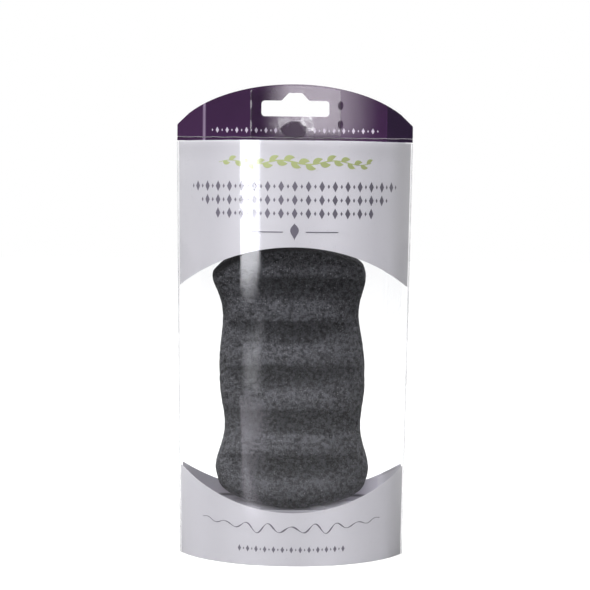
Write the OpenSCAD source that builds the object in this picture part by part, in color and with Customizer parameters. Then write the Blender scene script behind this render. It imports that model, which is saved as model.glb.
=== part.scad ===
// Wavy body sponge standing in the clear hanging pack that it is sold in.
// X runs to the right, Z up, and Y from the bowed front to the flat back.
// The middle of the foot is at the origin.
// Depths are measured forward from the front face of the back panel.

/* [Sponge] */
// Length of the sponge from foot to top
sponge_l = 124; // [100:1:140]
// Width across the top and bottom bulges
sponge_w_end = 72.4; // [66:0.2:78]
// Width across the middle bulge
sponge_w_mid = 68.4; // [64.8:0.2:72]
// Width across the two waists
sponge_w_waist = 64.2; // [58:0.2:65]
// Distance between neighbouring bulges
bulge_pitch = 46.5; // [40:0.5:52]
// Thickness from the pad's back to the ridges' crests
sponge_t = 30; // [26:0.5:34]
// Distance from the back at which the sponge is widest
widest_at = 12; // [9:0.5:15]
// Distance between neighbouring grooves across the front
ridge_pitch = 20.8; // [16:0.2:26]
// How far the row of grooves sits below the middle of the sponge
ridge_drop = 1; // [0:0.1:4]
// Depth of the grooves
groove_depth = 3; // [1:0.1:4]
// Rounding of the top and bottom edges
end_round = 7; // [5:0.5:12]
// How far the ends curve away from their middle towards the sides
end_crown = 7; // [0:0.2:8]
// Thickness of the loofah pad on the back
pad_t = 4; // [3:0.5:6]
// How far the pad keeps in from the sponge's outline
pad_inset = 8; // [7:0.5:14]

/* [Box] */
// Room beside the sponge on each side at the foot of the box
side_room_foot = 17.5; // [16:0.1:26]
// Room beside the sponge on each side at the header fold
side_room_top = 20.2; // [18:0.1:28]
// Room in front of the sponge at the foot
front_room_foot = 4.05; // [3.2:0.05:9]
// Room in front of the sponge at the header fold
front_room_top = 1.45; // [1.2:0.05:6]
// Height of the floor that the sponge stands on
deck_z = 25.5; // [18:0.5:40]
// Room above the sponge up to the header fold
head_room = 48.2; // [24:0.1:80]
// Thickness of the clear film
film_t = 0.4; // [0.3:0.05:0.6]

/* [Header] */
// Height of the header's arch above the top of the hang slot
header_land = 5.2; // [3.6:0.1:9]
// Height of the half ellipse that the header's arch is part of
header_arch_h = 33; // [24:0.5:40]
// How far that ellipse reaches past the header's sides
header_arch_over = 5.6; // [3.2:0.2:12]
// Radius of the header's two shoulders and of the layers in front of it
shoulder_r = 1.5; // [0.5:0.1:3]
// Clear margin between the header's edge and its print
print_margin = 0.9; // [0.4:0.1:2]
// Height of the crease above the header fold
crease_z = 1.8; // [1:0.1:2.6]
// Width of the crease
crease_w = 0.35; // [0.2:0.05:0.6]

/* [Hang slot] */
// Width of the hang slot
slot_w = 32; // [26:0.5:34]
// Height of the slot's straight part
slot_h = 7.1; // [6:0.1:9]
// Height of the slot's lower edge above the header fold
slot_z = 12.3; // [11:0.1:13]
// Height of the bump above the slot's straight part
bump_h = 3.7; // [2.4:0.1:5]
// Width of the bump at its root
bump_w_root = 12.9; // [11:0.1:16]
// Width of the bump at its top
bump_w_top = 5.8; // [4.6:0.1:9]
// Radius of the slot's corners
slot_r = 1.7; // [0.6:0.1:2.4]

/* [Hang tab] */
// Width of the second film layer round the slot
hang_tab_w = 43; // [38:0.5:60]
// Height of its lower edge above the header fold
hang_tab_z = 2; // [1.9:0.1:3]
// Distance of its top from the header's arch
hang_tab_drop = 1.6; // [1:0.1:3]
// Width of the glue dot that holds it
glue_dot_w = 11; // [8:0.5:16]
// Height of the glue dot
glue_dot_h = 7.4; // [4:0.2:7.6]
// Height of the glue dot's middle above the header fold
glue_dot_z = 6.1; // [6:0.1:7]

/* [Print] */
// Height of the front window's top edge at the middle
window_top_z = 148.4; // [140:0.2:165]
// Height of the front window's lower edge at the middle
window_foot_z = 25; // [15:1:27]
// Radius of the window's two arched edges
window_r = 87; // [75:1:120]
// Height of the lower edge of the window in the back, at the middle
back_foot_z = 29.4; // [18:0.2:34]
// Radius of that edge
back_foot_r = 102; // [80:1:140]
// Thickness of the ink layers
ink_t = 0.1; // [0.05:0.05:0.2]

/* [Flaps] */
// Width of the tuck tabs at their fold
tuck_w = 36; // [28:1:38]
// Length of the tuck tabs
tuck_h = 11; // [6:0.5:12]
// How far the flaps' back corners are cut away
corner_relief = 4; // [2:0.5:8]
// Clearance between a flap and the film round it
flap_gap = 0.3; // [0.25:0.05:0.5]

/* [Side seam] */
// Width of the flap glued down along the right side
seam_w = 11; // [8:0.5:13]
// How far the seam flap stops short of the box's ends
seam_end = 6; // [3:0.5:12]
// Width of the glue line under it
seam_glue_w = 7; // [4:0.5:7]

/* [Platform] */
// Width of the front leg
front_leg_w = 44; // [40:1:50]
// Width of the rear leg
rear_leg_w = 60; // [40:1:76]
// How far the deck's back corners are cut away
deck_relief = 14; // [13.2:0.2:18]

/* [Hidden] */

// Colours of the pieces
film_colour = [0.86, 0.88, 0.9, 0.35];
glue_colour = [0.8, 0.8, 0.78, 0.6];
konjac_colour = [0.27, 0.27, 0.29];
loofah_colour = [0.72, 0.66, 0.5];
header_colour = [0.26, 0.16, 0.28];
print_colour = [0.79, 0.78, 0.82];
back_print_colour = [0.62, 0.61, 0.67];

// How far a cut runs past what it cuts
overrun = 1;
// Gap between a film and the ink layer on it
skin_gap = 0.05;
// How far the ink layers stop short of the film's edges
ink_edge = 0.2;
// Gap between the sponge or the platform and what it rests on
seat_gap = 0.1;
// Gap between the pad's back and the back panel
sponge_back_gap = 0.8;
// Distance of the seam flap from the side fold, inside the film
seam_out = 1.2;
// How far the back's prints stop short of its side folds
back_ink_edge = 1.6;

// Number of flat strips across the bowed front, and of rows up it
bow_columns = 48;
bow_rows = 4;
// Number of points round the sponge, and of rings up it
ring_points = 28;
ring_count = 42;
// Number of steps in a rounded corner and in a drawn arch
corner_steps = 6;
arch_steps = 40;
// Roundness of the true circles
round_fn = 128;

// How square the sponge's section is at the front and at the back
front_power = 2.5;
back_power = 2.6;
// How narrow the grooves are against the ridges
groove_power = 1.5;
// How much of the end rounding the front and the back take
front_round_share = 0.8;
back_round_share = 0.35;
// How far the ink layers reach round the bow towards the side folds
ink_reach_share = 0.985;
// How much narrower a tuck tab is than its fold
tuck_neck_share = 0.96;
// How much closer the sponge's rings lie towards its ends
end_ease_share = 0.45;
// How closely the ends' crown keeps to the ends
crown_power = 6;

// Outer sizes of the box that the sponge needs
box_h = deck_z + seat_gap + sponge_l + head_room;
box_w_foot = sponge_w_end + 2 * side_room_foot;
box_w_top = sponge_w_end + 2 * side_room_top;
ink_depth = film_t + skin_gap + ink_t;
bow_foot = sponge_back_gap + sponge_t + front_room_foot + ink_depth;
bow_top = sponge_back_gap + sponge_t + front_room_top + ink_depth;
depth = film_t + max(bow_foot, bow_top);
back_y = depth / 2;
inner_y = back_y - film_t;

// Depth at which the seam flap lies, over the ink and the glue
seam_depth = 2 * (skin_gap + ink_t);
// Inset of a flap's rounded edge from the outside of the film
flap_inset = ink_depth + flap_gap;
// Depths of the glue dot and of the second film layer before the header's print
dot_depth = skin_gap + ink_t;
hang_depth = dot_depth + ink_t;

// Heights of the slot's parts and of the centre of the header's arch
slot_low_z = box_h + slot_z;
slot_high_z = slot_low_z + slot_h;
bump_z = slot_high_z + bump_h;
header_centre_z = bump_z + header_land - header_arch_h;

// Heights of the sponge's ends and middle
sponge_z = deck_z + seat_gap;
sponge_mid_z = sponge_z + sponge_l / 2;
pad_front = sponge_back_gap + pad_t;

function mix(a, b, share) = a + (b - a) * share;
function signed_power(v, p) = sign(v) * pow(abs(v), p);

// Sag of a circle of radius r at a distance x from its middle
function sag(r, x) = r - sqrt(pow(r, 2) - pow(x, 2));

// Width of the box across the back, and bow of its front, at a height
function box_w(z) = mix(box_w_foot, box_w_top, z / box_h);
function bow(z) = mix(bow_foot, bow_top, z / box_h);
function bow_r(z) = (pow(box_w(z), 2) / 4 + pow(bow(z), 2)) / (2 * bow(z));

// Point of an arc that bows forward from a chord, set in by an inset.
// The turn goes from -1 at the left end to 1 at the right end.
function arc_point(turn, chord, rise, inset) =
    let (r = (pow(chord, 2) / 4 + pow(rise, 2)) / (2 * rise))
    let (half = acos((r - rise) / (r - inset)))
    [(r - inset) * sin(turn * half), r - rise - (r - inset) * cos(turn * half)];

// Point of the bowed front, a ruled surface between a foot arc and a top arc
function film_point(turn, z, inset) =
    let (foot = arc_point(turn, box_w_foot, bow_foot, inset))
    let (top = arc_point(turn, box_w_top, bow_top, inset))
    [mix(foot.x, top.x, z / box_h), mix(foot.y, top.y, z / box_h), z];

// Depth of a clear space in front of the back panel at a distance x
function clear_depth(x, z, inset) = bow(z) - inset - sag(bow_r(z) - inset, x);

// Points of the arc that rounds a corner
function corner_arc(before, here, after, r) =
    let (u = (before - here) / norm(before - here))
    let (v = (after - here) / norm(after - here))
    let (half = acos(u * v) / 2)
    let (span = 180 - 2 * half)
    let (centre = here + (u + v) / norm(u + v) * r / sin(half))
    let (from = here + u * r / tan(half) - centre)
    let (to = here + v * r / tan(half) - centre)
    [
        for (k = [0:corner_steps])
            let (w = k / corner_steps)
            centre + (sin((1 - w) * span) * from + sin(w * span) * to) / sin(span)
    ];

// Outline points with their corners rounded; each corner is [x, y, radius],
// and one with no radius stays a single point
function rounded(corners) = [
    for (i = [0:len(corners) - 1])
        let (n = len(corners))
        let (here = [corners[i].x, corners[i].y])
        let (before = [corners[(i + n - 1) % n].x, corners[(i + n - 1) % n].y])
        let (after = [corners[(i + 1) % n].x, corners[(i + 1) % n].y])
        each corners[i].z > 0 ? corner_arc(before, here, after, corners[i].z) : [here]
];

// A thin sheet that follows the bowed front between two lists of heights
module bowed_sheet(turns, lows, highs, outer, inner) {
    cols = len(turns);
    rows = bow_rows + 1;
    half = cols * rows;
    function layer(inset) = [
        for (r = [0:rows - 1])
            for (c = [0:cols - 1])
                film_point(turns[c], mix(lows[c], highs[c], r / (rows - 1)), inset)
    ];
    function at(r, c) = r * cols + c;
    front = [
        for (r = [0:rows - 2])
            for (c = [0:cols - 2])
                for (face = [
                    [at(r, c), at(r + 1, c), at(r + 1, c + 1)],
                    [at(r, c), at(r + 1, c + 1), at(r, c + 1)]
                ]) face
    ];
    back = [for (face = front) [face[2] + half, face[1] + half, face[0] + half]];
    foot_run = [for (c = [0:cols - 1]) at(0, c)];
    right_run = [for (r = [1:rows - 1]) at(r, cols - 1)];
    top_run = [for (c = [1:cols - 1]) at(rows - 1, cols - 1 - c)];
    left_run = [for (r = [1:rows - 2]) at(rows - 1 - r, 0)];
    rim = concat(foot_run, right_run, top_run, left_run);
    edge = [
        for (i = [0:len(rim) - 1])
            let (a = rim[i], b = rim[(i + 1) % len(rim)])
            for (face = [[a, b, b + half], [a, b + half, a + half]]) face
    ];
    translate([0, inner_y, 0])
        polyhedron(concat(layer(outer), layer(inner)), concat(front, back, edge));
}

// A closed solid through a stack of rings, lowest first, whose two ends are
// closed by strips that run from each point to the one that mirrors it
module ring_solid(rings) {
    n = len(rings[0]);
    last = len(rings) - 1;
    function at(k, i) = k * n + i % n;
    sides = [
        for (k = [0:last - 1])
            for (i = [0:n - 1])
                for (face = [
                    [at(k, i), at(k + 1, i), at(k + 1, i + 1)],
                    [at(k, i), at(k + 1, i + 1), at(k, i + 1)]
                ]) face
    ];
    strips = concat(
        [for (i = [0:n / 2 - 2]) [i, i + 1, n - i - 1]],
        [for (i = [1:n / 2 - 1]) [i, n - i - 1, n - i]]
    );
    foot = [for (face = strips) [for (i = face) at(0, i)]];
    top = [for (face = strips) [for (j = [0:2]) at(last, face[2 - j])]];
    polyhedron([for (ring = rings) each ring], concat(sides, foot, top));
}

// A sheet standing in front of the back panel, from one depth to another
module upright(from, to) {
    translate([0, inner_y - from, 0])
        rotate([90, 0, 0])
            linear_extrude(to - from)
                children();
}

// A level sheet with its lower face at a height
module level(z) {
    translate([0, inner_y, z])
        linear_extrude(film_t)
            children();
}

// Half width of the sponge's outline at a height
function sponge_half(z) =
    let (off = abs(z - sponge_mid_z))
    let (bulge_w = mix(sponge_w_mid, sponge_w_end, min(1, off / bulge_pitch)))
    mix(sponge_w_waist, bulge_w, (1 + cos(360 * off / bulge_pitch)) / 2) / 2;

// How far the rounded ends draw in at a height
function end_draw(z) =
    let (left = max(0, end_round - (sponge_l / 2 - abs(z - sponge_mid_z))))
    sag(end_round, min(left, end_round));

// Depth of the grooves at a height
function groove(z) =
    let (wave = (1 + cos(360 * (z - sponge_mid_z + ridge_drop) / ridge_pitch)) / 2)
    groove_depth * pow(wave, groove_power);

// How far a point near the sponge's ends moves towards its middle
function crown_shift(x, z) =
    let (off = 2 * (sponge_mid_z - z) / sponge_l)
    end_crown * sign(off) * pow(abs(off), crown_power) * pow(2 * x / sponge_w_end, 2);

// One ring of the konjac block, level but for the crown of the ends
function block_ring(z) =
    let (half = sponge_half(z) - end_draw(z))
    let (reach = sponge_t - widest_at - front_round_share * end_draw(z))
    let (back = pad_front + back_round_share * end_draw(z))
    [
        for (i = [0:ring_points - 1])
            let (a = 360 * i / ring_points)
            let (power = sin(a) > 0 ? back_power : front_power)
            let (x = half * signed_power(cos(a), 2 / power))
            let (out = pow(abs(sin(a)), 2 / power))
            let (front_d = widest_at + (reach - groove(z) * abs(sin(a))) * out)
            let (back_d = max(back - sponge_back_gap, widest_at * (1 - out)))
            let (depth_here = sponge_back_gap + (sin(a) > 0 ? back_d : front_d))
            [x, inner_y - depth_here, z + crown_shift(x, z)]
    ];

// The dark konjac body: three bulges wide, six ridges across its front
module konjac_block() {
    half_l = sponge_l / 2;
    color(konjac_colour)
        ring_solid([
            for (k = [0:ring_count - 1])
                let (v = 2 * k / (ring_count - 1) - 1)
                let (eased = mix(v, sin(90 * v), end_ease_share))
                block_ring(sponge_mid_z + half_l * eased)
        ]);
}

// The fibrous pad let into the sponge's back
module loofah_pad() {
    half_l = sponge_l / 2 - pad_inset;
    right = [
        for (k = [0:arch_steps])
            let (v = 2 * k / arch_steps - 1)
            let (z = sponge_mid_z + half_l * sin(90 * v))
            let (left = max(0, pad_inset - (half_l - abs(z - sponge_mid_z))))
            [sponge_half(z) - pad_inset - sag(pad_inset, min(left, pad_inset)), z]
    ];
    left = [for (k = [0:arch_steps]) [-right[arch_steps - k].x, right[arch_steps - k].y]];
    color(loofah_colour)
        upright(sponge_back_gap, pad_front)
            polygon(concat(right, left));
}

// The header's arch, set in by a margin, as corners from right to left.
// The points between its ends keep clear of the rounded end corners.
function header_arch(half, margin, end_r) = [
    for (k = [0:arch_steps])
        let (across = 1 - 2 * k / arch_steps)
        let (x = (half - (abs(across) < 1 ? 2 * end_r : 0)) * across)
        let (off = x / (box_w_top / 2 + header_arch_over - margin))
        let (z = header_centre_z + (header_arch_h - margin) * sqrt(1 - pow(off, 2)))
        [x, z, k % arch_steps == 0 ? end_r : 0]
];

// A shape with the header's arch on top and a straight foot
module arched_shape(half, margin, end_r, foot) {
    polygon(rounded(concat(
        header_arch(half, margin, end_r),
        [for (corner = foot) [corner.x, corner.y, 0]]
    )));
}

// The hang slot, grown by a margin
module slot_shape(margin = 0) {
    low = slot_low_z - margin;
    high = slot_high_z + margin;
    side = slot_w / 2 + margin;
    root = bump_w_root / 2 + margin;
    top = bump_w_top / 2 + margin;
    peak = bump_z + margin;
    polygon(rounded([
        [-side, low, slot_r], [side, low, slot_r], [side, high, slot_r],
        [root, high, slot_r / 2], [top, peak, slot_r / 2],
        [-top, peak, slot_r / 2], [-root, high, slot_r / 2], [-side, high, slot_r]
    ]));
}

// The flat back of the pack, with the arched header above the fold
module back_panel() {
    foot = box_w_foot / 2;
    side = box_w_top / 2;
    color(film_colour)
        upright(-film_t, 0)
            difference() {
                arched_shape(side, 0, shoulder_r,
                    [[-side, box_h], [-foot, 0], [foot, 0], [side, box_h]]);
                slot_shape();
            }
}

// Turns of the columns across the bow, as far as a share of it
function turns(reach) = [for (c = [0:bow_columns]) reach * (2 * c / bow_columns - 1)];

// The bowed front of the pack
module front_panel() {
    t = turns(1);
    color(film_colour)
        bowed_sheet(t, [for (u = t) 0], [for (u = t) box_h], 0, film_t);
}

// The strip folded in from the front film along the right side
module side_flap() {
    foot = seam_end;
    top = box_h - seam_end;
    edge = film_t + seam_out;
    color(film_colour)
        upright(seam_depth, seam_depth + film_t)
            polygon([
                [box_w(foot) / 2 - edge, foot],
                [box_w(top) / 2 - edge, top],
                [box_w(top) / 2 - edge - seam_w, top - seam_w],
                [box_w(foot) / 2 - edge - seam_w, foot + seam_w]
            ]);
}

// The line of glue under the seam flap
module seam_glue() {
    foot = seam_end + seam_w;
    top = box_h - seam_end - seam_w;
    edge = film_t + seam_out + (seam_w - seam_glue_w) / 2;
    color(glue_colour)
        upright(seam_depth - ink_t, seam_depth)
            polygon([
                [box_w(foot) / 2 - edge, foot],
                [box_w(top) / 2 - edge, top],
                [box_w(top) / 2 - edge - seam_glue_w, top],
                [box_w(foot) / 2 - edge - seam_glue_w, foot]
            ]);
}

// Depth of a flap's front fold, where a straight fold of a width fits
function fold_depth(fold_w, z) = clear_depth(fold_w / 2, z, flap_inset);

// A D-shaped flap that fills the box at a height, cut straight at its front fold
module flap_shape(z, fold_w, relief) {
    half = box_w(z) / 2 - relief;
    front = fold_depth(fold_w, z);
    intersection() {
        translate([0, bow_r(z) - bow(z)])
            circle(r = bow_r(z) - flap_inset, $fn = round_fn);
        translate([-half, -front])
            square([2 * half, front - flap_gap]);
    }
}

// A tab with a rounded edge, hanging a length down from a fold at its top
module tab_shape(fold_w, length) {
    half = fold_w * tuck_neck_share / 2;
    polygon([for (k = [0:arch_steps])
        [half * cos(180 * k / arch_steps), -length * sin(180 * k / arch_steps)]]);
}

// The closing flap at the top of the box
module top_flap() {
    color(film_colour)
        level(box_h - film_t)
            flap_shape(box_h, tuck_w, corner_relief);
}

// The tab of the top flap, tucked down behind the front
module top_tuck_tab() {
    front = fold_depth(tuck_w, box_h);
    color(film_colour)
        upright(front - film_t, front)
            translate([0, box_h - film_t])
                tab_shape(tuck_w, tuck_h);
}

// The closing flap at the foot of the box
module bottom_flap() {
    color(film_colour)
        level(0)
            flap_shape(0, tuck_w, corner_relief);
}

// The tab of the bottom flap, tucked up behind the front
module bottom_tuck_tab() {
    front = fold_depth(tuck_w, 0);
    color(film_colour)
        upright(front - film_t, front)
            translate([0, film_t])
                mirror([0, 1])
                    tab_shape(tuck_w, tuck_h);
}

// The raised floor that the sponge stands on
module platform_deck() {
    color(film_colour)
        level(deck_z - film_t)
            flap_shape(deck_z, front_leg_w, deck_relief);
}

// A leg of the platform from the bottom flap up to the deck
module leg(width, front) {
    foot = film_t + seat_gap;
    color(film_colour)
        upright(front - film_t, front)
            translate([-width / 2, foot])
                square([width, deck_z - film_t - foot]);
}
module platform_front_leg() {
    leg(front_leg_w, fold_depth(front_leg_w, deck_z));
}
module platform_rear_leg() {
    leg(rear_leg_w, flap_gap + film_t);
}

// The second film layer that strengthens the slot
module hang_tab() {
    half = hang_tab_w / 2;
    foot = box_h + hang_tab_z;
    color(film_colour)
        upright(hang_depth, hang_depth + film_t)
            difference() {
                arched_shape(half, hang_tab_drop, shoulder_r, [[-half, foot], [half, foot]]);
                slot_shape();
            }
}

// The oval of glue that holds the second layer to the header
module glue_dot() {
    r = glue_dot_h / 2;
    run = glue_dot_w - glue_dot_h;
    color(glue_colour)
        upright(dot_depth, hang_depth)
            translate([0, box_h + glue_dot_z]) {
                translate([-run / 2, -r])
                    square([run, glue_dot_h]);
                for (side = [-1, 1])
                    translate([side * run / 2, 0])
                        circle(r = r, $fn = round_fn);
            }
}

// The dark print on the header, parted by the crease
module header_print() {
    side = box_w_top / 2 - ink_edge;
    foot = box_h + ink_edge;
    color(header_colour)
        upright(skin_gap, skin_gap + ink_t)
            difference() {
                arched_shape(side, print_margin, shoulder_r, [[-side, foot], [side, foot]]);
                slot_shape(ink_edge);
                translate([-side - overrun, box_h + crease_z])
                    square([2 * (side + overrun), crease_w]);
            }
}

// Height of the window's arched top edge and of its sagging lower edge
function window_top(x) = window_top_z - sag(window_r, x);
function window_foot(x) = window_foot_z + sag(window_r, x);

// The pale print above the window on the bowed front
module front_upper_print() {
    t = turns(ink_reach_share);
    x = [for (u = t) film_point(u, window_top_z, ink_depth).x];
    color(print_colour)
        bowed_sheet(t, [for (v = x) window_top(v)], [for (v = x) box_h - ink_edge],
            film_t + skin_gap, ink_depth);
}

// The pale print below the window on the bowed front
module front_lower_print() {
    t = turns(ink_reach_share);
    x = [for (u = t) film_point(u, window_foot_z, ink_depth).x];
    color(print_colour)
        bowed_sheet(t, [for (v = x) ink_edge], [for (v = x) window_foot(v)],
            film_t + skin_gap, ink_depth);
}

// A print across the back panel between a level edge and an arched one, whose
// ends rise with a bulge of 1 and sink with one of -1
module back_print(level_z, arch_z, arch_r, bulge) {
    half_level = box_w(level_z) / 2 - back_ink_edge;
    half_arch = box_w(arch_z) / 2 - back_ink_edge;
    color(back_print_colour)
        upright(skin_gap, skin_gap + ink_t)
            polygon(concat(
                [[half_level, level_z], [-half_level, level_z]],
                [for (k = [0:arch_steps])
                    let (x = half_arch * (2 * k / arch_steps - 1))
                    [x, arch_z + bulge * sag(arch_r, x)]]
            ));
}
module back_upper_print() {
    back_print(box_h - ink_edge, window_top_z, window_r, -1);
}
module back_lower_print() {
    back_print(ink_edge, back_foot_z, back_foot_r, 1);
}

konjac_block();
loofah_pad();
back_panel();
front_panel();
side_flap();
seam_glue();
top_flap();
top_tuck_tab();
bottom_flap();
bottom_tuck_tab();
platform_deck();
platform_front_leg();
platform_rear_leg();
hang_tab();
glue_dot();
header_print();
front_upper_print();
front_lower_print();
back_upper_print();
back_lower_print();
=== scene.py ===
"""Looks for a wavy charcoal body sponge in the clear hanging pack that it is sold in.

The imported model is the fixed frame. This script dresses it: the foam body, the
fibre pad, the bowed film with its prints, the flat films, and a plain studio.
Lengths are in metres, in the frame's axes: X right, Y back, Z up.
"""

import math

import bpy
import numpy as np
from bpy.props import FloatProperty, FloatVectorProperty, IntProperty, PointerProperty
from mathutils import Matrix, Vector


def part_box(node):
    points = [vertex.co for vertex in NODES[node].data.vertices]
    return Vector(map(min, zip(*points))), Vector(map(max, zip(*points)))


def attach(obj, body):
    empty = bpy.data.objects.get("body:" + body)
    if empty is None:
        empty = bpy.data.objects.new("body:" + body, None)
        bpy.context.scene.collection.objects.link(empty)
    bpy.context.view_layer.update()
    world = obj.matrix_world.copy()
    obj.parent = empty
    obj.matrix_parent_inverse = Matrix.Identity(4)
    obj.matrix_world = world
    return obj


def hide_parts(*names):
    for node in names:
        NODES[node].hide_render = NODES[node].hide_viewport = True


bl_info = {
    "name": "Sponge in a hanging pack",
    "version": (1, 0, 0),
    "blender": (4, 5, 0),
    "location": "View3D > Sidebar > Sponge pack",
    "description": "Builds the foam, fibre, film and print of a packed body sponge",
    "category": "Object",
}

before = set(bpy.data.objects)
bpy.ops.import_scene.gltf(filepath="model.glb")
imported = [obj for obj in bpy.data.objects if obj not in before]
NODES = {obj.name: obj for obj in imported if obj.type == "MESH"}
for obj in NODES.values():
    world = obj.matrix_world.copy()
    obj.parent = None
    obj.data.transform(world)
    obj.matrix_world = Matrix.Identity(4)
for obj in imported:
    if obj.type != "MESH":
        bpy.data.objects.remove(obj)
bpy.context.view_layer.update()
MM = 0.001

FOAM_LOW, FOAM_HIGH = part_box("konjac_block")
PAD_LOW, PAD_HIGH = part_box("loofah_pad")
BACK_LOW, BACK_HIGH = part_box("back_panel")
FRONT_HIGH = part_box("front_panel")[1]
FOAM_MIDDLE = (FOAM_LOW.z + FOAM_HIGH.z) / 2
FOAM_HALF = (FOAM_HIGH.z - FOAM_LOW.z) / 2

CAP_RINGS = 22  # rings over each end of the foam
FIBRE_POINTS, FIBRE_SIDES = 13, 5
BOW_POINTS, FILM_ROWS, PRINT_ROWS = 161, 19, 13  # points across the bow, rows up it
WELD_HEIGHTS = (0.2153, 0.2063)  # the two weld spots on the hang tab's right edge
BLACK, WHITE = (0.0, 0.0, 0.0), (1.0, 1.0, 1.0)


def length(name, text, value, low=0.0):
    """A size in metres for a property group."""
    return FloatProperty(
        name=name, description=text, default=value, min=low, unit="LENGTH", precision=5
    )


def share(name, text, value, high=1.0):
    """A plain number from 0 to high."""
    return FloatProperty(name=name, description=text, default=value, min=0.0, max=high)


def angle(name, text, degrees):
    """An angle, given in degrees and kept in radians."""
    value = math.radians(degrees)
    return FloatProperty(name=name, description=text, default=value, unit="ROTATION")


def count(name, text, value, low):
    """A whole number."""
    return IntProperty(name=name, description=text, default=value, min=low)


def place(name, text, value):
    """A place in metres."""
    return FloatVectorProperty(
        name=name, description=text, default=value, subtype="TRANSLATION", unit="LENGTH"
    )


def colour(name, text, value):
    """A linear colour."""
    return FloatVectorProperty(
        name=name, description=text, default=value, size=3, min=0.0, max=1.0, subtype="COLOR"
    )


class SpongeSizes(bpy.types.PropertyGroup):
    """Sizes of the foam body and its fibre pad."""

    width_end: length("End width", "Width over the end bulges", FOAM_HIGH.x - FOAM_LOW.x)
    width_mid: length("Middle width", "Width over the middle bulge", 68.4 * MM)
    width_waist: length("Waist width", "Width at the two waists", 64.2 * MM)
    bulge_pitch: length("Bulge pitch", "Distance between bulges", 46.5 * MM)
    bulge_shift: length("Bulge shift", "How far both end bulges sit too high", 2.1 * MM)
    waist_high: length("Upper waist shift", "How far the upper waist sits outwards", 4 * MM)
    waist_low: length("Lower waist shift", "How far the lower waist sits outwards", 1.25 * MM)
    widest_at: length("Widest at", "Distance from the back to the widest line", 12 * MM)
    ridge_pitch: length("Ridge pitch", "Distance between grooves", 20.8 * MM)
    ridge_lead: length("Ridge lead", "How far a ridge's end sits above the middle", 2.6 * MM)
    groove_depth: length("Groove depth", "Depth of the grooves", 2.45 * MM)
    end_round: length("End rounding", "Radius of the ends' edges", 7 * MM)
    end_crown: length("End crown", "How far the ends curve back at the sides", 7.8 * MM)
    lopsided: share("Lopsided", "How much further the top's left corner curves back", 1.15, 3.0)
    slump: length("Slump", "How far the soft top leans to the left", 3 * MM)
    lift: length("Lift", "How far the sponge slides up in the closed pack", 34 * MM)
    pad_inset: length("Pad inset", "Pad's distance from the outline", 8 * MM)
    pit_size: length("Pit size", "Distance between the larger pits", 2.3 * MM, 0.0005)
    pit_depth: length("Pit depth", "Depth of the larger pits", 0.42 * MM)
    rings: count("Rings", "Rings up the foam body", 262, 40)
    points: count("Points", "Points in each ring", 312, 40)
    fibres: count("Fibres", "Fibres on the pad", 430, 10)


class PackSizes(bpy.types.PropertyGroup):
    """Sizes of the film pack and its prints."""

    height: length("Box height", "Height of the box up to the header fold", FRONT_HIGH.z)
    width_foot: length("Foot width", "Width of the box at the foot", 107.4 * MM)
    width_top: length("Top width", "Width of the box at the fold", BACK_HIGH.x - BACK_LOW.x)
    bow_foot: length("Foot bow", "Bow of the front at the foot", 35.4 * MM)
    bow_top: length("Top bow", "Bow of the front at the fold", 32.8 * MM)
    film: length("Film", "Thickness of the film", 0.4 * MM)
    skin_gap: length("Skin gap", "Gap between film and ink", 0.05 * MM)
    ink: length("Ink", "Thickness of the ink", 0.1 * MM)
    ink_edge: length("Ink edge", "How far the ink stops short of the edges", 0.2 * MM)
    window_top: length("Window top", "Top of the window at the middle", 148.4 * MM)
    window_foot: length("Window foot", "Foot of the window at the middle", 25 * MM)
    window_round: length("Window radius", "Radius of the window's edges", 87 * MM)
    back_foot: length("Back window foot", "Foot of the back's window at the middle", 29.4 * MM)
    back_round: length("Back window radius", "Radius of its lower edge", 102 * MM)
    ink_reach: share("Ink reach", "How far the ink runs to the side folds", 0.985)
    fold_round: length("Fold radius", "Radius of the pressed side folds", 0.34 * MM)


class PackColours(bpy.types.PropertyGroup):
    """Colours of the materials."""

    foam: colour("Foam", "Charcoal foam", (0.095, 0.095, 0.108))
    foam_dark: colour("Foam pits", "Pits of the foam", (0.014, 0.014, 0.017))
    foam_light: colour("Foam specks", "Light specks of plant fibre", (0.34, 0.34, 0.36))
    fibre: colour("Fibre", "Dry plant fibre", (0.56, 0.45, 0.26))
    purple: colour("Purple ink", "Header ink", (0.033, 0.012, 0.042))
    pale: colour("Pale ink", "Front ink", (0.70, 0.685, 0.735))
    milk: colour("Milky print", "Thin pale print of the platform", (0.60, 0.585, 0.64))
    grey: colour("Grey ink", "Back ink, seen from inside", (0.50, 0.48, 0.54))
    rule: colour("Rule ink", "Thin rules and flourish", (0.16, 0.145, 0.19))
    leaf: colour("Leaf ink", "Sprig of leaves", (0.50, 0.56, 0.24))
    film: colour("Film", "Clear film", (0.997, 0.998, 1.0))
    rim: colour("Film rim", "Cut edges and folds of the film", (0.62, 0.63, 0.66))


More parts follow.
